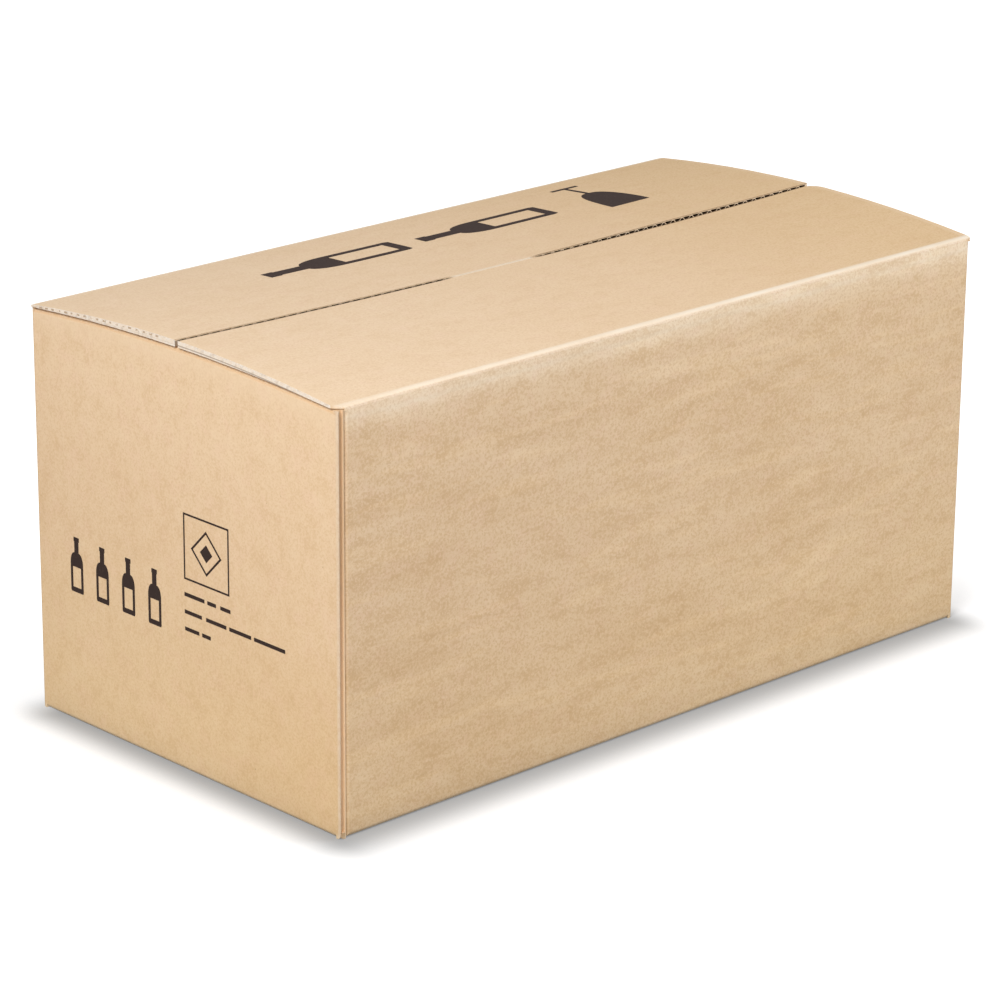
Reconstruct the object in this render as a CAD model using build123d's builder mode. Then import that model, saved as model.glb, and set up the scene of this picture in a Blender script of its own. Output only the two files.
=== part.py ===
from build123d import *
import os
from math import hypot, sqrt

# Outside of the closed box, fold to fold. X runs along the length, Y across, Z up,
# and the origin is in the middle of the underside.
box_length = 410.0
box_width = 213.0
box_height = 198.0

# Corrugated board: a fluted sheet glued between two flat liners.
board = 3.0
liner = 0.35
medium = 0.35
flute_pitch = 6.4
flute_crest = 1.2

# Folds. A score crushes the flutes, so the long top flaps are thin where they turn.
fold_radius = 2.4
crease_radius = 2.8
crushed_board = 1.2
slot_gap = 3.0

# Long top flaps. The short flaps under them spring back, so the closed top is crowned,
# most at the two ends. The flaps press on each other along a short stretch of the seam,
# where their flutes are crushed shut, and part at once on both sides of it. To the right
# the gap grows up to its widest place.
crown_at_ends = 6.0
crown_at_middle = 3.6
closed_from = -38.0
closed_to = 8.0
parting_run = 10.0
widest_at = 105.0
seam_gap_left_end = 2.0
seam_gap_left = 2.4
seam_gap_closed = 0.4
seam_gap_right = 2.0
seam_gap_widest = 4.4
seam_gap_right_end = 2.8
flap_overhang = 0.8
flap_clearance = 0.4
slot_corner_cut = 1.5
glued_corner_cut = 4.5
seam_corner_radius = 1.0
worn_corner_radius = 8.0
flute_sight_depth = 14.0

# Short flaps. The top ones fall away from their fold. The bottom ones step up over the
# ends of the long bottom flaps, which are glued to them.
short_flap_droop = 2.6
bottom_seam_gap = 1.0
bottom_fold_run = 1.0
bottom_step_run = 3.0

# Glue tab of the upright joint, inside the end wall that shows its raw edge. That edge is
# cut along a flute, so it is hollow between the liners.
tab_width = 35.0
tab_end_taper = 8.0
tab_end_gap = 1.0
joint_hollow_depth = 1.5

# Bottle cradles: pleated sheets that lie in pairs, one facing up and one facing down.
# The webs are placed from the stop that the bottle's foot stands against.
cradle_play = 1.0
stack_gap = 0.2
crush_zone = 20.0
first_body_web = 65.0
second_body_web = 155.0
neck_web = 265.0
bottle_pitch = 102.0
body_hole_radius = 41.0
neck_hole_radius = 17.0

half_length = box_length / 2
half_width = box_width / 2
half_flap = half_length + flap_overhang
flap_depth = half_width - seam_gap_closed / 2
wall_top = box_height - crushed_board - flap_clearance
short_flap_side = half_width - board - slot_gap

# The end walls and short flaps rise with the underside of the long flaps above them.
end_rise = crown_at_ends + crushed_board - board
end_peak = wall_top + end_rise
crease_start = half_width - crease_radius
arch_radius = (crease_start**2 + end_rise**2) / (2 * end_rise)


def end_arch(y):
    """Height of the top of an end wall at a place across the box."""
    return end_peak - arch_radius + sqrt(arch_radius**2 - y**2)


def along_flap(left, middle, right, x):
    """Smooth value at x, from the values at a long flap's left end, middle and right end."""
    share = x / half_flap
    return middle + share * (right - left) / 2 + share**2 * ((right + left) / 2 - middle)


# An end wall with its short top and bottom flaps
with BuildPart() as end_panel:
    with BuildSketch(Plane.YZ.offset(-half_length)):
        with BuildLine():
            ThreePointArc(
                (-half_width, end_arch(half_width)), (0, end_peak), (half_width, end_arch(half_width))
            )
            Polyline(
                (half_width, end_arch(half_width)),
                (half_width, 0),
                (-half_width, 0),
                (-half_width, end_arch(half_width)),
            )
        make_face()
    extrude(amount=board)
    outer_edges = end_panel.faces().sort_by(Axis.X)[0].edges().sort_by(Axis.Z)
    fillet([outer_edges[0], outer_edges[-1]], min(fold_radius, 0.9 * board))

    # Short top flap, arched like the wall's top and falling towards its free edge.
    side_top = end_arch(short_flap_side)
    side_underside = side_top - board
    with BuildSketch(Plane.YZ.offset(-half_length + board)):
        with BuildLine():
            ThreePointArc((-short_flap_side, side_top), (0, end_peak), (short_flap_side, side_top))
            Line((short_flap_side, side_top), (short_flap_side, side_underside))
            ThreePointArc(
                (short_flap_side, side_underside),
                (0, end_peak - board),
                (-short_flap_side, side_underside),
            )
            Line((-short_flap_side, side_underside), (-short_flap_side, side_top))
        make_face()
    flap_run = flap_depth - board
    extrude(amount=hypot(flap_run, short_flap_droop), dir=(flap_run, 0, -short_flap_droop))

    # Short bottom flap, stepping up over the ends of the long ones.
    step_start = -half_length + board + bottom_fold_run
    with BuildSketch(Plane.XZ.offset(-short_flap_side)):
        with BuildLine():
            Polyline(
                (-half_length + board, board / 2),
                (step_start, board / 2),
                (step_start + bottom_step_run, 3 * board / 2),
                (-half_length + flap_depth, 3 * board / 2),
            )
        trace(line_width=board)
    extrude(amount=2 * short_flap_side)

# The outer box: one sheet, folded round and glued
with BuildPart() as box_body:
    # Long walls with the long bottom flaps; the top is rounded where the top flaps carry on.
    with BuildSketch(Plane.YZ.offset(-half_length)) as long_wall:
        with Locations((-half_width, 0)):
            Rectangle(board, box_height, align=Align.MIN)
            Rectangle(half_width - bottom_seam_gap / 2, board, align=Align.MIN)
        outer_corners = long_wall.vertices().group_by(Axis.X)[0].sort_by(Axis.Y)
        fillet(outer_corners[0], fold_radius)
        fillet(outer_corners[-1], min(crease_radius, 0.95 * board))
        with Locations((-half_width, wall_top)):
            Rectangle(board, box_height - wall_top, align=Align.MIN, mode=Mode.SUBTRACT)
        mirror(about=Plane.YZ)
    extrude(amount=box_length)

    # The long bottom flaps stop short of the step in the short ones.
    slot_run = board + bottom_fold_run + bottom_step_run + board / 2
    with BuildSketch():
        with Locations((-half_length, 0)):
            Rectangle(slot_run, box_width - 2 * board, align=(Align.MIN, Align.CENTER))
        mirror(about=Plane.YZ)
    extrude(amount=board, mode=Mode.SUBTRACT)

    add(end_panel.part)
    mirror(end_panel.part, about=Plane.YZ)

    # Upright folds are rounded, apart from the corner with the glued joint.
    with BuildSketch() as outline:
        Rectangle(box_length, box_width)
        fillet(outline.vertices().sort_by(Axis((0, 0, 0), (1, 1, 0)))[1:], fold_radius)
    extrude(amount=end_peak, mode=Mode.INTERSECT)

    # At the joint the front wall turns in behind the raw edge of the end wall.
    with BuildSketch():
        with Locations((-half_length + board, -half_width)):
            Rectangle(fold_radius, fold_radius, align=Align.MIN)
        with Locations((-half_length + board + fold_radius, -half_width + fold_radius)):
            Circle(fold_radius, mode=Mode.SUBTRACT)
    extrude(amount=box_height, mode=Mode.SUBTRACT)

    # The raw edge is open between its liners, from the bottom fold to the top of the wall.
    with BuildSketch(Plane.XY.offset(board)):
        with Locations((-half_length + liner, -half_width)):
            Rectangle(board - 2 * liner, joint_hollow_depth, align=Align.MIN)
    extrude(amount=wall_top - board, mode=Mode.SUBTRACT)

    # The tab is glued flat to the inside of the end wall.
    tab_root = -half_width + board
    tab_tip = -half_width + board + tab_width
    tab_low = 2 * board + tab_end_gap
    tab_high = end_arch(half_width) - board - tab_end_gap
    with BuildSketch(Plane.YZ.offset(-half_length + board)):
        Polygon(
            (tab_root, tab_low),
            (tab_tip, tab_low + tab_end_taper),
            (tab_tip, tab_high - tab_end_taper),
            (tab_root, tab_high),
        )
    extrude(amount=board)


def long_top_flap(corner_cut, corner_radius):
    """The long top flap of the front wall, closed, with its open flutes along the seam."""
    with BuildPart() as flap:
        # The crowned sheet, thin at the crease and at full thickness along the seam.
        for x, crown in (
            (-half_flap, crown_at_ends),
            (0, crown_at_middle),
            (half_flap, crown_at_ends),
        ):
            top = box_height + crown
            with BuildSketch(Plane.YZ.offset(x)):
                with BuildLine():
                    Bezier((-crease_start, box_height), (-crease_start / 2, top), (0, top))
                    Line((0, top), (0, top - board))
                    Bezier(
                        (0, top - board),
                        (-crease_start / 2, top - board),
                        (-crease_start, box_height - crushed_board),
                    )
                    Line((-crease_start, box_height - crushed_board), (-crease_start, box_height))
                make_face()
        loft()

        # The rounded outside of the crease, which ends just above the wall.
        with BuildSketch(Plane.YZ.offset(-half_flap)):
            with Locations((-crease_start, box_height - crease_radius)):
                Circle(crease_radius)
            with Locations((-crease_start, box_height)):
                Rectangle(crease_radius, crushed_board, align=Align.MAX, mode=Mode.INTERSECT)
        extrude(amount=2 * half_flap)

        # The flap as it was cut from the flat sheet.
        with BuildSketch() as flat_shape:
            with BuildLine():
                Polyline(
                    (-half_flap, -seam_gap_left_end / 2),
                    (-half_flap, -half_width + corner_cut),
                    (-half_flap + corner_cut, -half_width),
                    (half_flap, -half_width),
                    (half_flap, -seam_gap_right_end / 2),
                    (widest_at, -seam_gap_widest / 2),
                    (closed_to + parting_run, -seam_gap_right / 2),
                    (closed_to, -seam_gap_closed / 2),
                    (closed_from, -seam_gap_closed / 2),
                    (closed_from - parting_run, -seam_gap_left / 2),
                    close=True,
                )
            make_face()
            seam_corner = flat_shape.vertices().sort_by(Axis((0, 0, 0), (1, 1, 0)))[-1]
            fillet(seam_corner, corner_radius)
        extrude(amount=box_height + crown_at_ends, mode=Mode.INTERSECT)

        # Flutes run from the seam back to the crease, open as far in as they can be seen.
        # Each space has its wide foot on one liner, and the next one has it on the other.
        space_height = board - 2 * liner - medium
        half_foot = (flute_pitch - flute_crest - medium) / 2
        half_crest = flute_crest / 2
        half_pitches = 2 * int(2 * half_flap / flute_pitch) - 1
        with BuildSketch(Plane.XZ):
            for number in range(half_pitches):
                x = (number - (half_pitches - 1) / 2) * flute_pitch / 2
                if closed_from < x < closed_to:
                    continue
                crown = along_flap(crown_at_ends, crown_at_middle, crown_at_ends, x)
                low = box_height + crown - board + liner
                if number % 2:
                    low_half, high_half = half_foot, half_crest
                else:
                    low += medium
                    low_half, high_half = half_crest, half_foot
                with Locations((x, low)):
                    Polygon(
                        (-low_half, 0), (low_half, 0), (high_half, space_height), (-high_half, space_height)
                    )
        extrude(amount=flute_sight_depth, mode=Mode.SUBTRACT)
    return flap.part


with BuildPart() as top_flap_front:
    add(long_top_flap(glued_corner_cut, worn_corner_radius))

with BuildPart() as top_flap_back:
    add(long_top_flap(slot_corner_cut, seam_corner_radius))
    mirror(about=Plane.XZ, mode=Mode.REPLACE)

# The cradles fill the space between the short bottom flaps and the short top flaps, and
# lie between the tab on one end wall and the other end wall.
cradle_names = ("cradle_bottom", "cradle_lower_middle", "cradle_upper_middle", "cradle_top")
stack_low = 2 * board + stack_gap
stack_high = side_underside - short_flap_droop - stack_gap
level_step = (stack_high - stack_low + stack_gap) / len(cradle_names)
cradle_height = level_step - stack_gap
cradle_length = box_length - 3 * board - 2 * cradle_play
cradle_width = box_width - 2 * board - 2 * cradle_play
foot_stop = -cradle_length / 2 + crush_zone + 2 * board
head_stop = cradle_length / 2 - crush_zone - 2 * board
web_places = (
    foot_stop - board,
    foot_stop + first_body_web,
    foot_stop + second_body_web,
    foot_stop + neck_web,
    head_stop + board,
)

# The hollow under a pleat, between the two bends where the sheet turns up into a web
with BuildSketch() as pleat_hollow:
    Rectangle(2 * board, board, align=(Align.CENTER, Align.MIN))
    with Locations((-board, board), (board, board)):
        Circle(board, mode=Mode.SUBTRACT)

# One cradle facing up: a sheet pleated into five upright webs, two plies each and round
# where they turn at the top, with round notches for the bodies and necks of two bottles
with BuildPart() as cradle:
    with BuildSketch(Plane.XZ.offset(-cradle_width / 2)):
        Rectangle(cradle_length, board, align=(Align.CENTER, Align.MIN))
        with Locations(*[(x, 0) for x in web_places]):
            Rectangle(2 * board, cradle_height - board, align=(Align.CENTER, Align.MIN))
            add(pleat_hollow.sketch, mode=Mode.SUBTRACT)
        with Locations(*[(x, cradle_height - board) for x in web_places]):
            Circle(board)
    extrude(amount=cradle_width)

    # Two cradles close round a bottle, so each notch is half a circle.
    neck_start = foot_stop + second_body_web + 2 * board
    for start, end, radius in (
        (foot_stop, neck_start, body_hole_radius),
        (neck_start, head_stop, neck_hole_radius),
    ):
        with BuildSketch(Plane.YZ.offset(start)):
            with Locations(
                (-bottle_pitch / 2, cradle_height + stack_gap / 2),
                (bottle_pitch / 2, cradle_height + stack_gap / 2),
            ):
                Circle(radius)
        extrude(amount=end - start, mode=Mode.SUBTRACT)

box_body.part.label = "box_body"
top_flap_front.part.label = "top_flap_front"
top_flap_back.part.label = "top_flap_back"

os.makedirs("parts", exist_ok=True)
export_step(box_body.part, "parts/box_body.step")
export_step(top_flap_front.part, "parts/top_flap_front.step")
export_step(top_flap_back.part, "parts/top_flap_back.step")

# The same cradle is used at each level, turned over at every second one.
for level, name in enumerate(cradle_names):
    low = stack_low + level * level_step
    if level % 2:
        place = Location((board / 2, 0, low + cradle_height), (180, 0, 0))
    else:
        place = Location((board / 2, 0, low), (0, 0, 0))
    with BuildPart() as placed_cradle:
        with Locations(place):
            add(cradle.part)
    placed_cradle.part.label = name
    export_step(placed_cradle.part, f"parts/{name}.step")
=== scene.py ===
from math import atan2, cos, pi, radians, sin
import bmesh
import bpy
from mathutils import Matrix, Vector


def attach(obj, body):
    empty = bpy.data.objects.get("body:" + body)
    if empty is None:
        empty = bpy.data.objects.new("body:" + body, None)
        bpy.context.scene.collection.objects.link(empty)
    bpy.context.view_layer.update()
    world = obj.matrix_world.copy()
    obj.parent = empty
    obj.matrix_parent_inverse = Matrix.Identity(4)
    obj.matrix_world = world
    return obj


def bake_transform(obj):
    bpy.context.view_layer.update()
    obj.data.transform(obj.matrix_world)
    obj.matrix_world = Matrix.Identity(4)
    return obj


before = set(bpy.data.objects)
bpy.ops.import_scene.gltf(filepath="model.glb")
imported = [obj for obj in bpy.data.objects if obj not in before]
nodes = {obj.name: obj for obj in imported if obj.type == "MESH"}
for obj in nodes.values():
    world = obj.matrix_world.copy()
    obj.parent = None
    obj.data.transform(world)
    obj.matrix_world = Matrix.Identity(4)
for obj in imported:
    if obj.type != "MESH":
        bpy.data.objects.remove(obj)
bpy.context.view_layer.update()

MM = 0.001

# Camera. A long lens looks down on the corner between the printed end and the front wall,
# as for a catalogue picture. The box sits a little above the middle of the frame.
CAMERA_AZIMUTH = radians(-43.67)
CAMERA_ELEVATION = radians(19.0)
CAMERA_ROLL = radians(0.47)
CAMERA_DISTANCE = 1.948
CAMERA_SIDEWAYS = -0.0058
CAMERA_RAISED = 0.0780
CAMERA_LENS = 143.6

camera_data = bpy.data.cameras.new("camera")
camera_data.lens = CAMERA_LENS
camera_data.sensor_width = 36
camera_data.clip_end = 50
camera = bpy.data.objects.new("camera", camera_data)
bpy.context.scene.collection.objects.link(camera)
camera.matrix_world = (
    Matrix.Rotation(CAMERA_AZIMUTH, 4, "Z")
    @ Matrix.Rotation(pi / 2 - CAMERA_ELEVATION, 4, "X")
    @ Matrix.Rotation(CAMERA_ROLL, 4, "Z")
    @ Matrix.Translation((CAMERA_SIDEWAYS, CAMERA_RAISED, CAMERA_DISTANCE))
)
bpy.context.scene.camera = camera

# Light. A white tent gives most of it, and one large soft lamp from the upper left makes
# the top and the printed end brighter than the front wall.
TENT_STRENGTH = 0.30
TENT_COLOUR = (1.0, 1.0, 1.0)
LAMP_AIM = (-0.03, 0.0, 0.12)
LAMP_SIZE = 1.0
KEY_PLACE = (-1.40, -0.62, 1.33)
KEY_POWER = 31.6
KEY_COLOUR = (1.0, 1.0, 1.0)
FILL_PLACE = (1.45, -1.25, 1.00)
FILL_POWER = 16.8
FILL_COLOUR = (1.0, 1.03, 1.08)

bpy.context.scene.view_settings.view_transform = "Standard"
world = bpy.data.worlds.new("tent")
bpy.context.scene.world = world
world.use_nodes = True
tree = world.node_tree
tree.nodes.clear()
output = tree.nodes.new("ShaderNodeOutputWorld")
light_path = tree.nodes.new("ShaderNodeLightPath")
seen = tree.nodes.new("ShaderNodeMath")
seen.operation = "MAXIMUM"
seen_or_through = tree.nodes.new("ShaderNodeMath")
seen_or_through.operation = "MAXIMUM"
lit = tree.nodes.new("ShaderNodeBackground")
lit.inputs["Strength"].default_value = TENT_STRENGTH
white = tree.nodes.new("ShaderNodeBackground")
choice = tree.nodes.new("ShaderNodeMixShader")
lit.inputs["Color"].default_value = (*TENT_COLOUR, 1)
white.inputs["Color"].default_value = (1, 1, 1, 1)
tree.links.new(light_path.outputs["Is Camera Ray"], seen.inputs[0])
tree.links.new(light_path.outputs["Is Glossy Ray"], seen.inputs[1])
tree.links.new(seen.outputs[0], seen_or_through.inputs[0])
tree.links.new(light_path.outputs["Is Transmission Ray"], seen_or_through.inputs[1])
tree.links.new(seen_or_through.outputs[0], choice.inputs["Fac"])
tree.links.new(lit.outputs[0], choice.inputs[1])
tree.links.new(white.outputs[0], choice.inputs[2])
tree.links.new(choice.outputs[0], output.inputs["Surface"])


def soft_lamp(name, place, power, colour):
    """A round soft box, turned towards the middle of the object."""
    data = bpy.data.lights.new(name, "AREA")
    data.shape = "DISK"
    data.size = LAMP_SIZE
    data.energy = power
    data.color = colour
    lamp = bpy.data.objects.new(name, data)
    bpy.context.scene.collection.objects.link(lamp)
    lamp.location = place
    lamp.rotation_euler = (Vector(place) - Vector(LAMP_AIM)).to_track_quat("Z", "Y").to_euler()


soft_lamp("key", KEY_PLACE, KEY_POWER, KEY_COLOUR)
soft_lamp("fill", FILL_PLACE, FILL_POWER, FILL_COLOUR)


def deselect():
    """Nothing selected, so that the next operator acts only on what it adds."""
    for thing in bpy.context.selected_objects:
        thing.select_set(False)


# Floor. A white sheet with a soft shadow of the box painted round its foot, in the paper's
# colour and in the glow that the camera sees, and plain white a hand's width away from it.
# The painted shadow lies towards the front and the left.
FOOT_MIDDLE = (-4.0 * MM, -7.5 * MM, 0.0)
FOOT_HALVES = (201.0 * MM, 99.0 * MM, 0.0)
FLOOR_SIZE = 12.0
FLOOR_DROP = 0.05 * MM
FLOOR_GREY = 0.5
NEAR_GLOW = 0.55
FAR_GLOW = 0.95
GLOW_REACH = 150.0 * MM
END_SHORTER = 1.3
SHADOW_GREY = 0.42
SHADOW_REACH = 30.0 * MM

deselect()
bpy.ops.mesh.primitive_plane_add(size=FLOOR_SIZE, location=(0, 0, -FLOOR_DROP))
floor = bpy.context.object
floor.name = "floor"
floor_material = bpy.data.materials.new("white_floor")
floor_material.use_nodes = True
tree = floor_material.node_tree
tree.nodes.clear()
output = tree.nodes.new("ShaderNodeOutputMaterial")
from_foot = tree.nodes.new("ShaderNodeTexCoord").outputs["Object"]
for operation, other in (
    ("SUBTRACT", FOOT_MIDDLE),
    ("ABSOLUTE", (0, 0, 0)),
    ("SUBTRACT", FOOT_HALVES),
    ("MAXIMUM", (0, 0, 0)),
    ("MULTIPLY", (END_SHORTER, 1, 1)),
):
    step = tree.nodes.new("ShaderNodeVectorMath")
    step.operation = operation
    tree.links.new(from_foot, step.inputs[0])
    step.inputs[1].default_value = other
    from_foot = step.outputs["Vector"]


def by_distance(near, far, reach):
    """A value that goes smoothly from near, at the foot of the box, to far."""
    length = tree.nodes.new("ShaderNodeVectorMath")
    length.operation = "LENGTH"
    tree.links.new(from_foot, length.inputs[0])
    node = tree.nodes.new("ShaderNodeMapRange")
    node.interpolation_type = "SMOOTHSTEP"
    tree.links.new(length.outputs["Value"], node.inputs["Value"])
    for name, limit in (("From Max", reach), ("To Min", near), ("To Max", far)):
        node.inputs[name].default_value = limit
    return node.outputs[0]


def floor_product(first, second):
    node = tree.nodes.new("ShaderNodeMath")
    node.operation = "MULTIPLY"
    tree.links.new(first, node.inputs[0])
    tree.links.new(second, node.inputs[1])
    return node.outputs[0]


# The painted shadow darkens both the paper and its camera glow near the foot of the box.
paper = tree.nodes.new("ShaderNodeBsdfDiffuse")
tree.links.new(by_distance(SHADOW_GREY * FLOOR_GREY, FLOOR_GREY, SHADOW_REACH), paper.inputs["Color"])
glow = tree.nodes.new("ShaderNodeEmission")
light_path = tree.nodes.new("ShaderNodeLightPath")
shaded_glow = floor_product(
    by_distance(SHADOW_GREY, 1.0, SHADOW_REACH), by_distance(NEAR_GLOW, FAR_GLOW, GLOW_REACH)
)
tree.links.new(floor_product(light_path.outputs["Is Camera Ray"], shaded_glow), glow.inputs["Strength"])
both = tree.nodes.new("ShaderNodeAddShader")
tree.links.new(paper.outputs[0], both.inputs[0])
tree.links.new(glow.outputs[0], both.inputs[1])
tree.links.new(both.outputs[0], output.inputs["Surface"])
floor.data.materials.append(floor_material)

# Outer box: one sheet of brown kraft board, slotted, creased and glued into a sleeve. The
# liner is matt and cloudy, with short fibres and a few dark specks, and the flutes under
# it make faint ribs. Places and sizes on the board are in millimetres.
KRAFT = (0.775, 0.560, 0.352)
KRAFT_LIGHT = (0.830, 0.625, 0.420)
KRAFT_DEEP = (0.690, 0.470, 0.270)
KRAFT_ROSY = (0.800, 0.555, 0.385)
KRAFT_SPECK = (0.400, 0.240, 0.130)
CLOUD_SIZE = 60.0
CLOUD_SHARE = 0.18
BLUSH_SIZE = 10.0
BLUSH_SHARE = 0.40
PATCH_SIZE = 8.0
PATCH_STRETCH = (0.45, 1.0, 1.0)
PATCH_DARKER = 0.48
PATCH_LIGHTER = 0.43
PATCH_HEIGHT = 0.06
FIBRE_SIZE = 1.05
FIBRE_DARKER = 0.45
FIBRE_LIGHTER = 0.41
FIBRE_HEIGHT = 0.03
SPECK_SIZE = 1.5
SPECK_SHARE = 0.60
FLUTE_PITCH = 6.4
RIB_HEIGHT = 0.010
KRAFT_ROUGHNESS = 0.85


class Painter:
    """Adds nodes to one material. Places, sizes and heights are in millimetres."""

    def __init__(self, name):
        self.material = bpy.data.materials.new(name)
        self.material.use_nodes = True
        self.tree = self.material.node_tree
        self.tree.nodes.clear()
        coordinates = self.tree.nodes.new("ShaderNodeTexCoord")
        in_millimetres = self.tree.nodes.new("ShaderNodeVectorMath")
        in_millimetres.operation = "SCALE"
        in_millimetres.inputs["Scale"].default_value = 1 / MM
        self.tree.links.new(coordinates.outputs["Object"], in_millimetres.inputs[0])
        self.place = in_millimetres.outputs[0]
        self.x, self.y, self.z = self.axes(self.place)
        self.facing_x, self.facing_y, self.facing_z = self.axes(coordinates.outputs["Normal"])

    def feed(self, socket, value):
        """Links a socket to another one, or sets it to a number or a colour."""
        if isinstance(value, bpy.types.NodeSocket):
            self.tree.links.new(value, socket)
        else:
            socket.default_value = value

    def math(self, operation, first, second=0.0):
        node = self.tree.nodes.new("ShaderNodeMath")
        node.operation = operation
        self.feed(node.inputs[0], first)
        self.feed(node.inputs[1], second)
        return node.outputs[0]

    def axes(self, vector):
        node = self.tree.nodes.new("ShaderNodeSeparateXYZ")
        self.tree.links.new(vector, node.inputs[0])
        return node.outputs

    def size(self, value):
        return self.math("ABSOLUTE", value)

    def scaled(self, value, factor):
        return self.math("MULTIPLY", value, factor)

    def product(self, first, *others):
        for other in others:
            first = self.math("MULTIPLY", first, other)
        return first

    def total(self, first, *others):
        for other in others:
            first = self.math("ADD", first, other)
        return first

    def noise(self, size, stretch=(1, 1, 1), detail=2.0, roughness=0.5, twist=0.0):
        """Noise whose clouds are about as large as size."""
        mapping = self.tree.nodes.new("ShaderNodeMapping")
        mapping.inputs["Scale"].default_value = [part / size for part in stretch]
        self.tree.links.new(self.place, mapping.inputs["Vector"])
        node = self.tree.nodes.new("ShaderNodeTexNoise")
        node.inputs["Scale"].default_value = 1.0
        node.inputs["Detail"].default_value = detail
        node.inputs["Roughness"].default_value = roughness
        node.inputs["Distortion"].default_value = twist
        self.tree.links.new(mapping.outputs[0], node.inputs["Vector"])
        return node.outputs[0]

    def ramp(self, value, low, high):
        """0 at low and 1 at high, smooth between them; low may be above high."""
        node = self.tree.nodes.new("ShaderNodeMapRange")
        node.interpolation_type = "SMOOTHSTEP"
        self.feed(node.inputs["Value"], value)
        limits = (low, high, 0.0, 1.0) if low < high else (high, low, 1.0, 0.0)
        for name, limit in zip(("From Min", "From Max", "To Min", "To Max"), limits):
            node.inputs[name].default_value = limit
        return node.outputs[0]

    def band(self, value, low, high, soft):
        """1 between low and high, fading to 0 over the soft width on both sides."""
        return self.product(self.ramp(value, low - soft, low), self.ramp(value, high + soft, high))

    def mix(self, share, under, over, blend="MIX"):
        node = self.tree.nodes.new("ShaderNodeMix")
        node.data_type = "RGBA"
        node.blend_type = blend
        self.feed(node.inputs["Factor"], share)
        for socket, value in ((node.inputs[6], under), (node.inputs[7], over)):
            self.feed(socket, (*value, 1.0) if isinstance(value, tuple) else value)
        return node.outputs[2]

    def cover(self, colour, *coats):
        """Lays coats over a colour. Each is where it lies, how well it covers and its tone."""
        for place, share, tone in coats:
            colour = self.mix(self.scaled(place, share), colour, tone)
        return colour

    def stain(self, colour, *coats):
        """Multiplies a colour by the tones of coats, which keeps the grain under them."""
        for place, share, tone in coats:
            colour = self.mix(self.scaled(place, share), colour, tone, blend="MULTIPLY")
        return colour

    def finish(self, colour, roughness, height, gloss=0.25):
        """A matt surface with this colour, and with a bump of this height."""
        bump = self.tree.nodes.new("ShaderNodeBump")
        bump.inputs["Strength"].default_value = 1.0
        bump.inputs["Distance"].default_value = MM
        self.tree.links.new(height, bump.inputs["Height"])
        shader = self.tree.nodes.new("ShaderNodeBsdfPrincipled")
        self.tree.links.new(colour, shader.inputs["Base Color"])
        shader.inputs["Roughness"].default_value = roughness
        shader.inputs["Specular IOR Level"].default_value = gloss
        self.tree.links.new(bump.outputs[0], shader.inputs["Normal"])
        output = self.tree.nodes.new("ShaderNodeOutputMaterial")
        self.tree.links.new(shader.outputs[0], output.inputs["Surface"])
        return self.material


def kraft_liner(paint, along, contrast=1.0, cloudiness=1.0):
    """Colour and height of plain kraft liner over flutes that follow each other along one axis."""
    clouds = paint.noise(CLOUD_SIZE, detail=2)
    patches = paint.noise(PATCH_SIZE, stretch=PATCH_STRETCH, detail=3.5, roughness=0.75)
    blush = paint.noise(BLUSH_SIZE, detail=3, twist=0.5)
    fibres = paint.noise(FIBRE_SIZE, detail=1, roughness=0.6, twist=0.5)
    specks = paint.noise(SPECK_SIZE, detail=1)
    colour = paint.mix(paint.scaled(paint.ramp(clouds, 0.35, 0.65), CLOUD_SHARE), KRAFT, KRAFT_LIGHT)
    rosy = paint.product(paint.ramp(blush, 0.45, 0.70), cloudiness)
    colour = paint.cover(colour, (rosy, BLUSH_SHARE, KRAFT_ROSY))
    for cloud, share, darker, lighter in (
        (patches, cloudiness, PATCH_DARKER, PATCH_LIGHTER),
        (fibres, 1.0, FIBRE_DARKER, FIBRE_LIGHTER),
    ):
        low = paint.product(paint.ramp(cloud, 0.50, 0.34), share, contrast)
        high = paint.product(paint.ramp(cloud, 0.50, 0.68), share, contrast)
        colour = paint.cover(colour, (low, darker, KRAFT_DEEP), (high, lighter, KRAFT_LIGHT))
    colour = paint.cover(colour, (paint.ramp(specks, 0.79, 0.85), SPECK_SHARE, KRAFT_SPECK))
    ribs = paint.math("SINE", paint.scaled(along, 2 * pi / FLUTE_PITCH))
    height = paint.total(
        paint.scaled(ribs, RIB_HEIGHT),
        paint.scaled(patches, PATCH_HEIGHT),
        paint.scaled(fibres, FIBRE_HEIGHT),
    )
    return colour, height


# Outside of the sleeve. The ribs follow the flutes, which run upright in the walls and
# across the box in the flaps. The liner looks most uneven on the long walls, and least so
# on the top.
WALL_CONTRAST = 0.5
TOP_CALM = 0.40

paint = Painter("outer_kraft")
on_end = paint.ramp(paint.size(paint.facing_x), 0.6, 0.8)
on_long_wall = paint.ramp(paint.size(paint.facing_y), 0.6, 0.8)
on_top = paint.ramp(paint.facing_z, 0.6, 0.9)
off_end = paint.math("SUBTRACT", 1.0, on_end)
along = paint.total(paint.product(on_end, paint.y), paint.product(off_end, paint.x))
contrast = paint.total(1.0, paint.scaled(on_long_wall, WALL_CONTRAST))
cloudiness = paint.math("SUBTRACT", 1.0, paint.scaled(on_top, TOP_CALM))
colour, height = kraft_liner(paint, along, contrast, cloudiness)

# Long walls carry faint level streaks and pale threads, because the liner's fibres lie
# along the box, and they are painted a little paler to the right, as painted light.
BROWNER = (0.890, 0.840, 0.770)
LIGHTER = (1.085, 1.100, 1.095)
STREAK_SIZE = 16.0
STREAK_STRETCH = (0.16, 1.0, 1.0)
THREAD_SIZE = 7.0
THREAD_STRETCH = (0.11, 1.0, 1.0)

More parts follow.
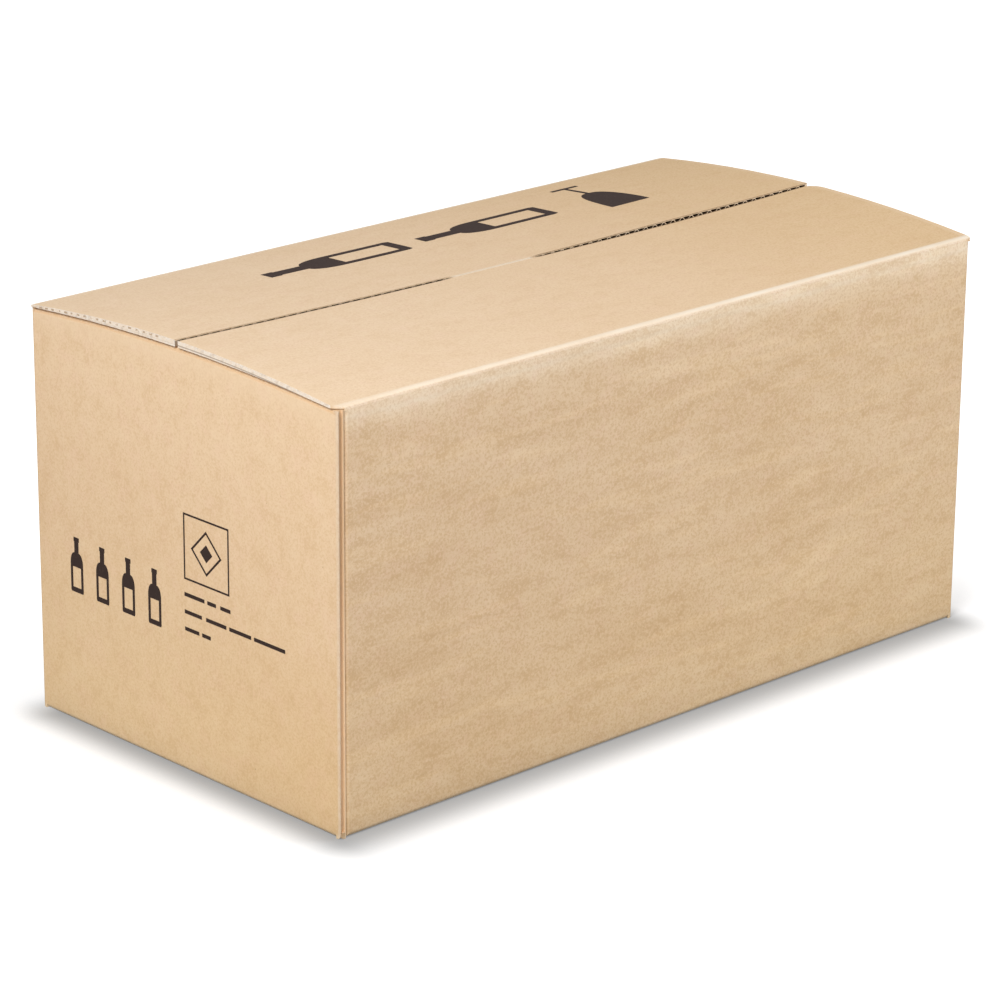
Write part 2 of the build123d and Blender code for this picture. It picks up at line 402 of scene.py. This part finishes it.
streaks = paint.noise(STREAK_SIZE, stretch=STREAK_STRETCH, detail=3, roughness=0.55)
threads = paint.noise(THREAD_SIZE, stretch=THREAD_STRETCH, detail=2)
colour = paint.stain(
    colour,
    (paint.product(on_long_wall, paint.ramp(streaks, 0.58, 0.38)), 0.34, BROWNER),
    (paint.product(on_long_wall, paint.ramp(threads, 0.50, 0.68)), 0.48, LIGHTER),
    # Painted light: paler towards the right of the long walls.
    (paint.product(on_long_wall, paint.ramp(paint.x, -160.0, 160.0)), 0.95, LIGHTER),
)

# Painted light and shade: the colour is browner half way up, at the left and the right
# foot of the ends and at the right of the top, yellower at the foot of the walls, and paler
# at the left of the top, as the studio light falls on the box.
YELLOWER = (1.000, 0.990, 0.900)
PALER = (1.035, 1.090, 1.200)

left_side = paint.product(on_end, paint.ramp(paint.y, 70.0, 104.0))
right_foot = paint.product(on_end, paint.ramp(paint.y, 30.0, -100.0), paint.ramp(paint.z, 110.0, 20.0))
half_way_up = paint.band(paint.z, 75.0, 115.0, 70.0)
foot = paint.ramp(paint.z, 120.0, 0.0)
foot_of_end = paint.product(on_end, foot)
foot_of_long_wall = paint.product(on_long_wall, foot)
top_right = paint.product(on_top, paint.ramp(paint.x, 20.0, 205.0))
top_left = paint.product(on_top, paint.ramp(paint.x, 100.0, -150.0))
colour = paint.stain(
    colour,
    (left_side, 0.15, BROWNER),
    (right_foot, 0.50, BROWNER),
    (half_way_up, 0.27, BROWNER),
    (foot_of_end, 1.00, YELLOWER),
    (foot_of_long_wall, 0.60, YELLOWER),
    (foot_of_long_wall, 0.18, BROWNER),
    (top_right, 0.36, BROWNER),
    (top_right, 0.70, YELLOWER),
    (top_left, 0.62, PALER),
)

# Fold at the top of each end wall, under the long flaps, arched as their crown is. It is
# burnished and a little cracked, with a paler band below it, a painted highlight where the
# panel rolls slightly over at the fold.
BURNISHED = (0.600, 0.360, 0.170)
FRAYED = (0.900, 0.800, 0.660)
HALF_LENGTH = 205.0
END_PEAK = 200.6
END_FALL = 1 / 2564.6
HALO_DEPTH = 14.0

ragged = paint.noise(2.0, detail=3, roughness=0.7)
frayed_dots = paint.ramp(ragged, 0.40, 0.62)
square_y = paint.math("MULTIPLY", paint.y, paint.y)
arch = paint.math("SUBTRACT", END_PEAK, paint.scaled(square_y, END_FALL))
below_arch = paint.math("SUBTRACT", arch, paint.z)
near_end = paint.ramp(paint.size(paint.x), HALF_LENGTH - 3.0, HALF_LENGTH - 2.2)
highlight_below_fold = paint.product(near_end, paint.ramp(below_arch, HALO_DEPTH, 4.0))
fold_line = paint.product(near_end, paint.band(below_arch, 0.0, 1.3, 1.2))
cracked = paint.product(near_end, paint.band(below_arch, 0.3, 1.2, 0.3), frayed_dots)
colour = paint.cover(
    colour,
    (highlight_below_fold, 0.40, KRAFT_LIGHT),
    (fold_line, 0.55, BURNISHED),
    (cracked, 0.25, FRAYED),
)

# Upright folds are burnished lines, where the board was creased and turned, and the bottom
# folds are painted paler, a painted highlight against the shade under their rounding.
SCUFF_AND_PAINTED_LIGHT = (1.140, 1.230, 1.370)
HALF_WIDTH = 106.5

to_corner_x = paint.math("SUBTRACT", HALF_LENGTH, paint.size(paint.x))
to_corner_y = paint.math("SUBTRACT", HALF_WIDTH, paint.size(paint.y))
upright_fold = paint.product(paint.ramp(to_corner_x, 2.0, 0.7), paint.ramp(to_corner_y, 2.4, 0.8))
bottom_fold = paint.ramp(paint.z, 2.6, 0.6)
colour = paint.cover(colour, (upright_fold, 0.60, BURNISHED))
colour = paint.stain(colour, (bottom_fold, 1.00, SCUFF_AND_PAINTED_LIGHT))

# Raw edge of the end wall at the glued joint, open between its liners, with a pale cut
# line on the panel beside it. The raw edge is dark brown, partly its own colour and partly
# painted shade of its open flutes. The front wall turns in behind it, in its shade; there
# and between the liners the colour is painted lighter, most at the foot, as painted light
# that evens out the shade of the groove.
RAW_EDGE = (0.420, 0.270, 0.150)
JOINT_INSIDE = (0.800, 0.585, 0.370)
JOINT_FOOT = (0.980, 0.760, 0.530)

raw_edge = paint.product(paint.ramp(paint.x, -201.0, -201.8), paint.ramp(paint.y, -106.0, -106.4))
raw_share = paint.total(0.40, paint.scaled(paint.ramp(paint.z, 60.0, 196.0), 0.20))
between_liners = paint.product(
    paint.band(paint.x, -204.6, -202.4, 0.1), paint.band(paint.y, -105.9, -105.0, 0.1)
)
turned_in = paint.product(
    paint.band(paint.x, -202.2, -201.7, 0.3),
    paint.ramp(paint.y, -104.0, -104.5),
    paint.ramp(paint.z, 197.0, 196.0),
)
inside_tone = paint.mix(paint.ramp(paint.z, 150.0, 50.0), JOINT_INSIDE, JOINT_FOOT)
cut_line = paint.product(paint.ramp(paint.x, -204.6, -204.9), paint.ramp(paint.y, -104.2, -105.4))
cut_share = paint.total(0.28, paint.scaled(frayed_dots, 0.15))
colour = paint.cover(
    colour,
    (raw_edge, raw_share, RAW_EDGE),
    (between_liners, 0.80, inside_tone),
    (turned_in, 0.80, inside_tone),
    (cut_line, cut_share, FRAYED),
)

# Creases of the long flaps: a pale line where the bend meets the top, partly wear and
# partly a painted highlight, then the turn, painted darker as painted shade against the
# light that it catches, and a pale band on the wall that fades downwards, partly scuffing
# and partly a painted highlight, with the faint line of the creasing wheel. The turn and
# the band stop at the glued joint.
TURN_SHADE = (0.840, 0.840, 0.870)
UNEVEN_SIZE = 30.0
UNEVEN_STRETCH = (0.7, 2.0, 2.0)
BAND_SWAY = 7.0
WHEEL_SWAY = 4.0

uneven = paint.noise(UNEVEN_SIZE, stretch=UNEVEN_STRETCH, detail=3, roughness=0.6)
from_middle = paint.size(paint.y)
past_joint = paint.ramp(paint.x, -201.6, -200.6)
band_height = paint.total(paint.z, paint.scaled(uneven, BAND_SWAY))
scuff_and_light_band = paint.product(
    paint.ramp(from_middle, 105.2, 106.0), paint.ramp(band_height, 184.5, 197.5), past_joint
)
wheel_height = paint.total(paint.z, paint.scaled(uneven, WHEEL_SWAY))
wheel_line = paint.product(on_long_wall, paint.band(wheel_height, 193.6, 194.6, 1.2))
turn = paint.product(
    paint.band(from_middle, 105.9, 106.3, 0.3), paint.ramp(paint.z, 195.6, 196.4), past_joint
)
crease_line = paint.product(
    paint.ramp(from_middle, 102.1, 104.1),
    paint.ramp(from_middle, 106.2, 105.2),
    paint.ramp(paint.z, 196.6, 197.2),
)
crease_share = paint.total(
    0.38,
    paint.scaled(paint.ramp(uneven, 0.35, 0.65), 0.30),
    paint.scaled(paint.ramp(paint.x, -190.0, 120.0), 0.32),
)
colour = paint.stain(colour, (scuff_and_light_band, 1.00, SCUFF_AND_PAINTED_LIGHT))
colour = paint.cover(colour, (wheel_line, 0.14, FRAYED))
colour = paint.stain(colour, (turn, 1.00, TURN_SHADE))
colour = paint.cover(colour, (crease_line, crease_share, FRAYED))

# Long flaps: they are crowned, most at their two ends. A place in their thickness is told
# by its depth under the top of the crowned sheet.
WALL_HEIGHT = 198.0
HALF_FLAP = 205.8
FLAP_REACH = 103.7
CROWN_ENDS = 6.0
CROWN_MIDDLE = 3.6

along_share = paint.scaled(paint.x, 1 / HALF_FLAP)
crown = paint.total(CROWN_MIDDLE, paint.product(along_share, along_share, CROWN_ENDS - CROWN_MIDDLE))
fall = paint.math("SUBTRACT", 1.0, paint.scaled(square_y, 1 / FLAP_REACH**2))
depth = paint.math("SUBTRACT", paint.total(WALL_HEIGHT, paint.product(crown, fall)), paint.z)
on_flap = paint.ramp(paint.z, 196.7, 197.1)

# The cut left ends of the flaps are frayed white. Their crushed flutes are a grey line,
# plainest on the front flap, and a row of flecks on the back one.
TORN = (0.830, 0.740, 0.640)
SHADED = (0.330, 0.250, 0.190)
BLOTCH_SIZE = 3.0
FLECK_PITCH = 4.7
FLECK_SWAY = 5.0

flap_end = paint.product(on_flap, paint.ramp(paint.x, -205.5, -205.7))
torn_share = paint.total(0.60, paint.scaled(frayed_dots, 0.35))
broken = paint.noise(BLOTCH_SIZE, detail=2, roughness=0.6)
blotches = paint.product(flap_end, paint.ramp(broken, 0.52, 0.62))
pressed_line = paint.product(flap_end, paint.band(depth, 1.9, 2.2, 0.25))
pressed_share = paint.total(0.15, paint.scaled(paint.ramp(paint.y, 1.0, -1.0), 0.60))
fleck_phase = paint.total(
    paint.scaled(paint.y, 2 * pi / FLECK_PITCH), paint.scaled(broken, FLECK_SWAY)
)
flecks = paint.product(
    flap_end,
    paint.ramp(paint.math("SINE", fleck_phase), 0.0, 0.5),
    paint.band(depth, 0.5, 1.2, 0.25),
    paint.ramp(paint.y, 8.0, 14.0),
    paint.ramp(ragged, 0.42, 0.52),
)
colour = paint.cover(
    colour,
    (flap_end, torn_share, TORN),
    (blotches, 0.22, SHADED),
    (pressed_line, pressed_share, SHADED),
    (flecks, 0.80, RAW_EDGE),
)

# Along the seam the cut flutes are pale to the right and darker to the left, the edge is
# rubbed paler where the flaps press on each other, and the hollows are painted near black
# as painted shade. Where the flaps have parted, both edges of the gap are painted dark, as
# painted shade that widens the dark line of the gap.
SEAM_SHADE = (0.200, 0.115, 0.060)
HOLLOW = (0.060, 0.035, 0.020)
GAP_LEFT = 1.1
GAP_OPENS_FROM = 0.75
GAP_OPENS = 0.0138
GAP_CLOSES_FROM = 3.04
GAP_CLOSES = -0.008
HOLLOW_REACH = 14.5

cut_flutes = paint.product(
    on_flap,
    paint.ramp(from_middle, 2.9, 2.5),
    paint.ramp(paint.size(paint.facing_y), 0.5, 0.8),
    paint.ramp(depth, 0.30, 0.45),
)
pale_flutes = paint.product(cut_flutes, paint.ramp(paint.x, -10.0, 10.0))
darker_left_flutes = paint.product(cut_flutes, paint.ramp(paint.x, -38.0, -44.0))
rubbed = paint.product(
    on_flap, paint.band(paint.x, -39.0, 9.0, 3.0), paint.ramp(from_middle, 1.3, 0.7)
)
opening = paint.math("MAXIMUM", GAP_LEFT, paint.total(GAP_OPENS_FROM, paint.scaled(paint.x, GAP_OPENS)))
closing = paint.total(GAP_CLOSES_FROM, paint.scaled(paint.x, GAP_CLOSES))
past_edge = paint.math("SUBTRACT", from_middle, paint.math("MINIMUM", opening, closing))
over_short_flaps = paint.ramp(paint.z, 200.8, 201.2)
shaded_gap_edge = paint.product(over_short_flaps, on_top, paint.ramp(past_edge, 0.9, 0.3))
parted = paint.total(
    paint.scaled(paint.ramp(paint.x, -40.0, -46.0), 0.45),
    paint.scaled(paint.ramp(paint.x, 10.0, 17.0), 0.90),
)
hollow = paint.product(
    on_flap,
    paint.band(depth, 0.45, 2.60, 0.08),
    paint.ramp(from_middle, HOLLOW_REACH + 2.0, HOLLOW_REACH),
    paint.ramp(paint.size(paint.facing_y), 0.5, 0.3),
    paint.ramp(paint.size(paint.x), 205.6, 205.2),
)
colour = paint.cover(
    colour,
    (pale_flutes, 0.25, FRAYED),
    (darker_left_flutes, 0.80, SHADED),
    (rubbed, 0.60, FRAYED),
    (shaded_gap_edge, parted, SEAM_SHADE),
    (hollow, 0.90, HOLLOW),
)

outer_kraft = paint.finish(colour, KRAFT_ROUGHNESS, height)
for name in ("box_body", "top_flap_front", "top_flap_back"):
    nodes[name].data.materials.clear()
    nodes[name].data.materials.append(outer_kraft)

# Outer liner round the two long creases: it bridges the crushed flutes between each long
# wall and its top flap.
CREASE_RADIUS = 2.8
LINER_LIFT = 0.06
LINER_THICKNESS = 0.05
LOW_ANGLE = radians(12)
HIGH_ANGLE = radians(75)
CIRCLE_STEPS = 240
SMOOTH_BELOW = radians(40)
FRONT_LINER_LEFT = -201.5
BACK_LINER_LEFT = -204.3


def crease_liner(name, side, left):
    """A strip of liner round the crease of the front (side -1) or back (side +1) flap."""
    centre_y = side * (HALF_WIDTH - CREASE_RADIUS) * MM
    centre_z = (WALL_HEIGHT - CREASE_RADIUS) * MM
    deselect()
    bpy.ops.mesh.primitive_circle_add(
        vertices=CIRCLE_STEPS,
        radius=(CREASE_RADIUS + LINER_LIFT) * MM,
        location=(left * MM, centre_y, centre_z),
        rotation=(pi / 2, 0, pi / 2),
    )
    strip = bpy.context.object
    strip.name = name
    bpy.ops.object.transform_apply()
    bpy.ops.object.mode_set(mode="EDIT")
    bpy.ops.mesh.select_mode(type="VERT")
    ring = bmesh.from_edit_mesh(strip.data)
    for vertex in ring.verts:
        angle = atan2(vertex.co.z - centre_z, side * (vertex.co.y - centre_y))
        vertex.select_set(not LOW_ANGLE < angle < HIGH_ANGLE)
    ring.select_flush_mode()
    bmesh.update_edit_mesh(strip.data)
    bpy.ops.mesh.delete(type="VERT")
    bpy.ops.mesh.select_all(action="SELECT")
    bpy.ops.mesh.extrude_edges_move(TRANSFORM_OT_translate={"value": ((HALF_LENGTH - left) * MM, 0, 0)})
    bpy.ops.mesh.select_all(action="SELECT")
    bpy.ops.mesh.normals_make_consistent(inside=False)
    bpy.ops.object.mode_set(mode="OBJECT")
    if strip.data.polygons[0].normal.y * side < 0:
        strip.data.flip_normals()
    thickness = strip.modifiers.new("liner", "SOLIDIFY")
    thickness.thickness = LINER_THICKNESS * MM
    thickness.offset = -1
    bpy.ops.object.modifier_apply(modifier=thickness.name)
    bpy.ops.object.shade_smooth_by_angle(angle=SMOOTH_BELOW)
    strip.data.materials.append(outer_kraft)
    return strip


for body, side, left in (("front_flap", -1, FRONT_LINER_LEFT), ("back_flap", 1, BACK_LINER_LEFT)):
    strip = crease_liner(f"{body}_crease_liner", side, left)
    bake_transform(strip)

# Print on the end wall: black-brown ink that soaked into the liner. It has one bottle for
# each that the box holds, a framed mark and three lines of fine print as plain dashes.
INK = (0.042, 0.027, 0.023)
INK_WORN = (0.085, 0.055, 0.042)
INK_ROUGHNESS = 0.80
INK_GLOSS = 0.10
INK_GRAIN = 0.03
INK_THICKNESS = 0.08
END_LIFT = 0.01

paint = Painter("print_ink")
worn = paint.noise(1.4, detail=3, roughness=0.7)
colour = paint.mix(paint.scaled(paint.ramp(worn, 0.55, 0.80), 0.8), INK, INK_WORN)
print_ink = paint.finish(colour, INK_ROUGHNESS, paint.scaled(worn, INK_GRAIN), gloss=INK_GLOSS)


def silhouette(outline, rim=None):
    """A flat shape drawn upwards from its foot, alike on both sides of its middle line.
    Each step of the outline is its height and half its width there. A rim leaves its
    largest face open, with ink as wide as the rim round it."""
    (low, half_low), (high, half_high), *steps = outline
    deselect()
    bpy.ops.mesh.primitive_plane_add(size=1, location=(0, (low + high) / 2 * MM, 0))
    shape = bpy.context.object
    shape.scale = (2 * half_low * MM, (high - low) * MM, 1)
    bpy.ops.object.transform_apply()
    bpy.ops.object.mode_set(mode="EDIT")
    bpy.ops.mesh.select_mode(type="EDGE")
    sheet = bmesh.from_edit_mesh(shape.data)
    for edge in sheet.edges:
        edge.select_set(all(vertex.co.y > (low + high) / 2 * MM for vertex in edge.verts))
    bmesh.update_edit_mesh(shape.data)
    bpy.ops.transform.resize(value=(half_high / half_low, 1, 1), center_override=(0, high * MM, 0))
    for height, half in steps:
        bpy.ops.mesh.extrude_edges_move(TRANSFORM_OT_translate={"value": (0, (height - high) * MM, 0)})
        bpy.ops.transform.resize(value=(half / half_high, 1, 1), center_override=(0, height * MM, 0))
        high, half_high = height, half
    if rim:
        bpy.ops.mesh.select_mode(type="FACE")
        sheet = bmesh.from_edit_mesh(shape.data)
        largest = max(sheet.faces, key=lambda face: face.calc_area())
        for face in sheet.faces:
            face.select_set(face == largest)
        bmesh.update_edit_mesh(shape.data)
        bpy.ops.mesh.inset(thickness=rim * MM)
        bpy.ops.mesh.delete(type="FACE")
    bpy.ops.object.mode_set(mode="OBJECT")
    return shape


def bar(width, height):
    """A plain bar with its middle at the origin."""
    return silhouette([(-height / 2, width / 2), (height / 2, width / 2)])


def frame_line(size, line):
    """A square frame, drawn as an inset whose middle is taken out."""
    deselect()
    bpy.ops.mesh.primitive_plane_add(size=size * MM)
    bpy.ops.object.mode_set(mode="EDIT")
    bpy.ops.mesh.select_mode(type="FACE")
    bpy.ops.mesh.select_all(action="SELECT")
    bpy.ops.mesh.inset(thickness=line * MM)
    bpy.ops.mesh.delete(type="FACE")
    bpy.ops.object.mode_set(mode="OBJECT")
    return bpy.context.object


def bottle_outline(height, half_width):
    """A bottle with a round shoulder and a long neck."""
    body, shoulder = 0.52 * height, 0.20 * height
    half_neck = 0.34 * half_width
    outline = [(0, 0.92 * half_width), (0.03 * height, half_width), (body, half_width)]
    for step in range(1, 9):
        turn = pi / 2 * step / 8
        outline.append((body + shoulder * sin(turn), half_neck + (half_width - half_neck) * cos(turn)))
    outline += [(0.92 * height, half_neck), (0.925 * height, 1.25 * half_neck), (height, 1.25 * half_neck)]
    return outline


def join(name, shapes):
    """Makes one named piece out of several."""
    deselect()
    for shape in shapes:
        shape.select_set(True)
    bpy.context.view_layer.objects.active = shapes[0]
    bpy.ops.object.join()
    shapes[0].name = name
    return shapes[0]


def print_on(name, shapes, body):
    """Joins flat shapes, gives the ink its thickness and ties the print to a body."""
    printed = join(name, shapes)
    ink = printed.modifiers.new("ink", "SOLIDIFY")
    ink.thickness = INK_THICKNESS * MM
    ink.offset = 1
    bpy.ops.object.modifier_apply(modifier=ink.name)
    printed.data.materials.append(print_ink)
    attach(printed, body)


def stamp_end(shape, across, up, turn=0.0):
    """Turns a flat shape upright and puts it on the outside of the left end wall."""
    shape.rotation_euler = (0, 0, turn)
    bpy.ops.object.transform_apply()
    shape.rotation_euler = (pi / 2, 0, -pi / 2)
    shape.location = (-(HALF_LENGTH + END_LIFT) * MM, -across * MM, up * MM)
    bpy.ops.object.transform_apply()
    return shape


BOTTLES_ACROSS = (-77.0, -58.0, -39.0, -20.0)
BOTTLES_UP = 65.0
BOTTLE_HEIGHT = 27.0
BOTTLE_HALF_WIDTH = 4.6
BOTTLE_RIM = 1.6
MARK_ACROSS = 17.2
MARK_UP = 108.9
FRAME_SIZE = 31.5
FRAME_LINE = 0.9
DIAMOND_SIZE = 15.0
DIAMOND_LINE = 1.0
DIAMOND_HEART = 6.0
LINES_START = 1.5
LINE_HEIGHT = 1.8
PRINT_LINES = (
    (86.0, ((0, 14), (16, 22), (25, 32))),
    (77.7, ((0, 12), (15, 29), (31, 46), (48, 69))),
    (69.5, ((0, 10), (12, 18))),
)

upright_bottle = bottle_outline(BOTTLE_HEIGHT, BOTTLE_HALF_WIDTH)
print_on(
    "end_print_bottles",
    [stamp_end(silhouette(upright_bottle, BOTTLE_RIM), across, BOTTLES_UP) for across in BOTTLES_ACROSS],
    "box",
)
print_on(
    "end_print_mark",
    [
        stamp_end(frame_line(FRAME_SIZE, FRAME_LINE), MARK_ACROSS, MARK_UP),
        stamp_end(frame_line(DIAMOND_SIZE, DIAMOND_LINE), MARK_ACROSS, MARK_UP, turn=pi / 4),
        stamp_end(bar(DIAMOND_HEART, DIAMOND_HEART), MARK_ACROSS, MARK_UP, turn=pi / 4),
    ],
    "box",
)
print_on(
    "end_print_lines",
    [
        stamp_end(bar(end - start, LINE_HEIGHT), LINES_START + (start + end) / 2, up)
        for up, dashes in PRINT_LINES
        for start, end in dashes
    ],
    "box",
)

# Print on the back top flap, to be read from behind: a stemmed glass, the usual mark for
# fragile goods, and two bottles that lie as they do in the box.
GLASS_X = 118.0
GLASS_FOOT_Y = 89.0
LYING_FEET_X = (79.0, -18.0)
LYING_Y = 61.3
LYING_LENGTH = 84.0
LYING_HALF_WIDTH = 9.8
LYING_RIM = 3.4
BOWL_FULLNESS = 0.7
DROP_FROM = 250.0
TOP_LIFT = 0.04


def glass_outline():
    """A stemmed glass: foot, stem and a deep bowl, widest at its rim."""
    foot, stem, bowl = 2.2, 18.0, 30.7
    half_foot, half_stem, half_rim = 9.0, 1.1, 13.0
    outline = [(0, half_foot), (foot, half_foot), (foot + 0.01, half_stem), (stem, half_stem)]
    for step in range(1, 13):
        turn = pi / 2 * step / 12
        outline.append((stem + bowl * (1 - cos(turn)), half_rim * sin(turn) ** BOWL_FULLNESS))
    return outline


def stamp_top(shape, x, y, turn):
    """Turns a flat shape and lays it on the crowned top of the back flap."""
    shape.rotation_euler = (0, 0, turn)
    shape.location = (x * MM, y * MM, DROP_FROM * MM)
    bpy.ops.object.transform_apply()
    bpy.ops.object.mode_set(mode="EDIT")
    bpy.ops.mesh.select_all(action="SELECT")
    bpy.ops.mesh.subdivide(number_cuts=2)
    bpy.ops.object.mode_set(mode="OBJECT")
    drop = shape.modifiers.new("drop", "SHRINKWRAP")
    drop.wrap_method = "PROJECT"
    drop.use_project_z = True
    drop.use_negative_direction = True
    drop.use_positive_direction = False
    drop.target = nodes["top_flap_back"]
    drop.offset = TOP_LIFT * MM
    bpy.ops.object.modifier_apply(modifier=drop.name)
    return shape


print_on(
    "top_print_glass", [stamp_top(silhouette(glass_outline()), GLASS_X, GLASS_FOOT_Y, pi)], "back_flap"
)
lying_bottle = bottle_outline(LYING_LENGTH, LYING_HALF_WIDTH)
print_on(
    "top_print_bottles",
    [stamp_top(silhouette(lying_bottle, LYING_RIM), foot_x, LYING_Y, pi / 2) for foot_x in LYING_FEET_X],
    "back_flap",
)

# Cradles: four alike sheets of lighter brown board, pleated into webs with round notches
# for the bottles. They lie loose on each other inside the box.
CRADLE_ROUGHNESS = 0.88

paint = Painter("cradle_kraft")
colour, height = kraft_liner(paint, paint.x)
cradle_kraft = paint.finish(colour, CRADLE_ROUGHNESS, height)
for name in ("cradle_bottom", "cradle_lower_middle", "cradle_upper_middle", "cradle_top"):
    nodes[name].data.materials.clear()
    nodes[name].data.materials.append(cradle_kraft)
